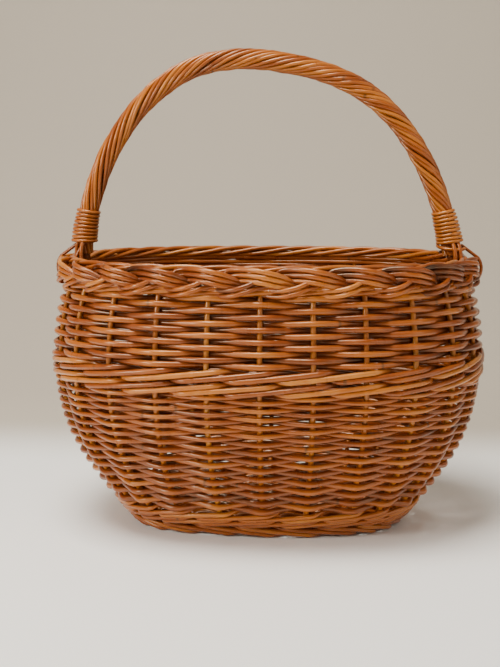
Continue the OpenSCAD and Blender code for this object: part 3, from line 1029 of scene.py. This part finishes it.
def loose_turn(side):
    """The binding rod's last turn, which hangs below the others."""
    points = []
    for turned in steps(-1.15, 0, 1 / 18):
        angle = LOOSE_TOP - 0.045 * smooth(-turned / 0.6)
        angle = angle if side > 0 else math.pi - angle
        radius = on_wrap + (0.6 + 1.2 * smooth(-turned)) * MM
        points.append(round_bow(angle, 2 * math.pi * turned + 1.0, radius))
    return rod(points, BINDING_ROD, some_tone(0.56, 0.06), painted_shade=0.15, taper=0.06)


for side, word in ((1, "right"), (-1, "left")):
    turns = [coil(side)]
    if side > 0:
        turns.append(loose_turn(side))
    bundle(f"{word} binding", turns, [f"{word}_binding"])
    ends = [tie_rod(side, 0.8 * MM)]
    for turned, away, across in FOOT_ENDS:
        turned = turned if side > 0 else math.pi - turned
        ends.append(foot_end(side, turned, away * MM, across * MM))
    bundle(f"{word} tie rod", ends, [f"{word}_tie_rod"])
print("coils from", round(coil_low.z, 4), "to", round(coil_high.z, 4))

# %% [markdown]
# ## Floor, light and camera
# The basket stands on a plain pale floor. Behind it the floor and the wall it turns up into are painted
# darker, as painted shade for a shadowy room behind, so the open handle stands out and the gaps in the
# weave look dark. A big soft panel overhead and a second one from the left act as windows, so that the
# glossy rods show long soft highlights and the grooves stay readable. A faint third one from the right
# stands for the light that the room gives back.


# %% Floor and world
FLOOR_SIZE = 8
FLOOR_Y = -2.2
FAR_EDGE = FLOOR_SIZE / 2 - 0.1
SHADE_FROM = 2.38
SHADE_TO = 2.62
NEAR_TONE = (0.95, 0.92, 0.86, 1)
PAINTED_SHADE_TONE = (0.52, 0.45, 0.36, 1)


def stage_floor():
    """A wide pale floor whose far edge is turned up into a wall and rounded at the fold."""
    bpy.ops.object.select_all(action="DESELECT")
    bpy.ops.mesh.primitive_plane_add(size=FLOOR_SIZE, location=(0, FLOOR_Y, -0.0005))
    floor = bpy.context.object
    floor.name = "floor"
    bpy.ops.object.mode_set(mode="EDIT")
    bpy.ops.mesh.select_all(action="DESELECT")
    bpy.ops.object.mode_set(mode="OBJECT")
    for edge in floor.data.edges:
        ends = [floor.data.vertices[v].co.y for v in edge.vertices]
        edge.select = min(ends) > FAR_EDGE
    bpy.ops.object.mode_set(mode="EDIT")
    bpy.ops.mesh.select_mode(type="EDGE")
    bpy.ops.mesh.extrude_region_move(TRANSFORM_OT_translate={"value": (0, 0, 4)})
    bpy.ops.object.mode_set(mode="OBJECT")
    for edge in floor.data.edges:
        spots = [floor.data.vertices[v].co for v in edge.vertices]
        edge.select = all(spot.y > FAR_EDGE and spot.z < 0.1 for spot in spots)
    bpy.ops.object.mode_set(mode="EDIT")
    bpy.ops.mesh.bevel(offset=1.2, segments=24)
    bpy.ops.mesh.select_all(action="SELECT")
    bpy.ops.mesh.normals_make_consistent(inside=False)
    bpy.ops.object.mode_set(mode="OBJECT")
    bpy.ops.object.shade_smooth()
    paint = bpy.data.materials.new("pale floor")
    paint.use_nodes = True
    tree = paint.node_tree
    shader = tree.nodes["Principled BSDF"]
    place = add_node(tree, "ShaderNodeTexCoord").outputs["Object"]
    split = add_node(tree, "ShaderNodeSeparateXYZ")
    tree.links.new(place, split.inputs["Vector"])
    # Painted shade: the floor turns to a darker tone behind the basket and up the wall.
    back = add_node(tree, "ShaderNodeMapRange", interpolation_type="SMOOTHSTEP")
    back.inputs["From Min"].default_value = SHADE_FROM
    back.inputs["From Max"].default_value = SHADE_TO
    tree.links.new(split.outputs["Y"], back.inputs["Value"])
    mix = mix_colours(tree, back.outputs["Result"], PAINTED_SHADE_TONE)
    mix.inputs[MIX_FIRST].default_value = NEAR_TONE
    tree.links.new(mix.outputs[MIX_RESULT], shader.inputs["Base Color"])
    shader.inputs["Roughness"].default_value = 0.75
    floor.data.materials.append(paint)


stage_floor()
world = bpy.data.worlds.new("room")
bpy.context.scene.world = world
world.use_nodes = True
world.node_tree.nodes["Background"].inputs["Color"].default_value = (0.86, 0.82, 0.76, 1)
world.node_tree.nodes["Background"].inputs["Strength"].default_value = 0.29


# %% Lights
def panel(name, place, target, size, power, colour):
    """A soft square light that faces a point."""
    bpy.ops.object.light_add(type="AREA", location=place)
    lamp = bpy.context.object
    lamp.name = name
    lamp.data.shape = "SQUARE"
    lamp.data.size = size
    lamp.data.energy = power
    lamp.data.color = colour
    lamp.rotation_euler = (Vector(target) - Vector(place)).to_track_quat("-Z", "Y").to_euler()


panel("overhead window", (-0.4, -0.5, 2.2), (0, 0, 0.2), 1.0, 72, (1.0, 0.98, 0.93))
panel("side window", (-1.5, -1.2, 1.0), (0, 0, 0.2), 0.6, 27, (1.0, 0.96, 0.90))
panel("room light", (1.7, -0.9, 1.0), (0, 0, 0.2), 1.2, 8, (1.0, 0.93, 0.84))

# %% Camera
bpy.ops.object.camera_add(location=(0.0491, -1.0865, 0.355))
camera = bpy.context.object
camera.name = "camera"
camera.rotation_euler = (math.radians(81.42), 0, math.radians(3.5))
camera.data.lens = 58.2
camera.data.sensor_width = 36
bpy.context.scene.camera = camera

# %% [markdown]
# ## Check and finish
# The last cell counts the triangles and prints them, with the number of pieces and the largest one.

# %% Finish
triangles = [sum(len(p.vertices) - 2 for p in piece.data.polygons) for piece in PIECES]
print("pieces:", len(PIECES), "triangles:", sum(triangles), "largest:", max(triangles))
